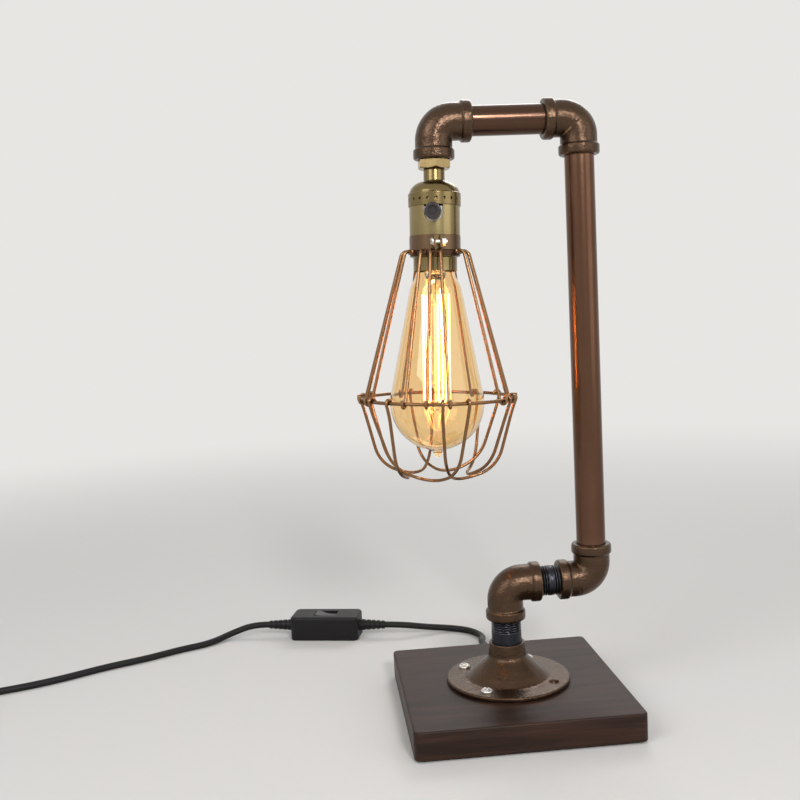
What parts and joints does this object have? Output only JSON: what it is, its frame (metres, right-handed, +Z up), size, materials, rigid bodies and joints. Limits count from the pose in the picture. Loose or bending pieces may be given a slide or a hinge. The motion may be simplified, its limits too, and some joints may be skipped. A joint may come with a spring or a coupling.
{
  "type": "table lamp",
  "caption": "Pipe-fitting table lamp on a square wooden base, with an offset column, a swinging arm, a hanging wire cage round a large bulb, and a cord with a switch.",
  "frame": {"origin": "middle of the base's underside, on the table", "axes": "+Z up the column, +X from the bulb's side to the column's side along the arm, +Y to the rear where the cord leaves"},
  "size_m": [0.6582, 0.2807, 0.4266],
  "materials": {
    "bronze_fitting": "antique bronze finish on cast iron, rough, worn lighter on the edges",
    "bronze_pipe": "satin copper-brown coated pipe",
    "dark_nipple": "blue-black steel nipple with bright thread crests",
    "bright_brass": "bright machined brass",
    "antique_brass": "brushed antique brass, olive gold",
    "cage_copper": "dark copper-plated steel wire",
    "zinc_screw": "zinc-plated steel screw",
    "black_plastic": "black moulded plastic",
    "black_cord": "black PVC cord sheath",
    "dark_wood": "dark walnut stain, satin varnish",
    "felt": "black felt",
    "amber_glass": "clear glass with a light amber coat",
    "clear_glass": "clear lamp glass",
    "filament_glow": "glowing filament strands",
    "ceramic": "glazed porcelain and black glass insulation",
    "nickel_cap": "nickel-plated brass screw cap",
    "copper_contact": "bare copper alloy",
    "sleeve_card": "brown insulating sleeve"
  },
  "bodies": {
    "root": {"base_block": "dark_wood", "base_felt": "felt", "base_gland": "black_plastic", "floor_flange": "bronze_fitting", "flange_screws": "zinc_screw", "base_nipple": "dark_nipple", "base_elbow": "bronze_fitting", "offset_nipple": "dark_nipple", "column_elbow": "bronze_fitting", "lead_base": "black_cord", "cord_base_side": "black_cord", "switch_lower": "black_plastic", "switch_upper": "black_plastic", "switch_screws": "zinc_screw", "switch_contacts": "copper_contact", "relief_lamp_side": "black_plastic", "relief_plug_side": "black_plastic", "cord_plug_side": "black_cord", "cord_coil": "black_cord", "cord_tail": "black_cord", "plug_body": "black_plastic", "plug_pins": "zinc_screw"},
    "mast": {"column_pipe": "bronze_pipe", "top_elbow": "bronze_fitting", "arm_pipe": "bronze_pipe", "lead_mast": "black_cord"},
    "head": {"drop_elbow": "bronze_fitting", "reducer_bushing": "bright_brass", "lamp_nipple": "bright_brass", "lead_head": "black_cord", "socket_cap": "antique_brass", "socket_shell": "antique_brass", "insulating_liner": "sleeve_card", "switch_block": "ceramic", "screw_shell": "nickel_cap", "centre_contact": "copper_contact", "terminal_screws": "bright_brass", "cage_collar": "cage_copper", "clamp_screw": "zinc_screw", "clamp_nut": "zinc_screw", "neck_ring": "cage_copper", "cage_wires_front": "cage_copper", "cage_wires_right": "cage_copper", "cage_wires_back": "cage_copper", "cage_wires_left": "cage_copper", "cage_ring": "cage_copper", "basket_loops_1": "cage_copper", "basket_loops_2": "cage_copper", "basket_loops_3": "cage_copper"},
    "key": {"key_stem": "bright_brass", "key_knob": "black_plastic"},
    "bulb": {"bulb_cap": "nickel_cap", "cap_insulator": "ceramic", "cap_contact": "copper_contact", "bulb_glass": "amber_glass", "bulb_stem": "clear_glass", "filament": "filament_glow", "filament_hooks": "nickel_cap"},
    "switch_rocker": {"rocker": "black_plastic"}
  },
  "joints": [
    {"name": "arm_swing", "type": "hinge", "parent": "root", "child": "mast", "pos_m": [0.0636, 0, 0.25], "axis": [0, 0, 1], "range_deg": [-45, 45]},
    {"name": "head_tilt", "type": "hinge", "parent": "mast", "child": "head", "pos_m": [-0.0364, 0, 0.4125], "axis": [1, 0, 0], "range_deg": [-30, 30]},
    {"name": "key_turn", "type": "hinge", "parent": "head", "child": "key", "pos_m": [-0.03834, 0, 0.35093], "axis": [-0.1736, -0.9848, 0.0055], "continuous": true},
    {"name": "bulb_turn", "type": "hinge", "parent": "head", "child": "bulb", "pos_m": [-0.0424, 0, 0.22159], "axis": [0.0314, 0, 0.9995], "range_deg": [0, 1440]},
    {"name": "rocker_tilt", "type": "hinge", "parent": "root", "child": "switch_rocker", "pos_m": [-0.1275, 0.1845, 0.0176], "axis": [-0.2317, -0.9728, 0], "range_deg": [0, 14]}
  ]
}
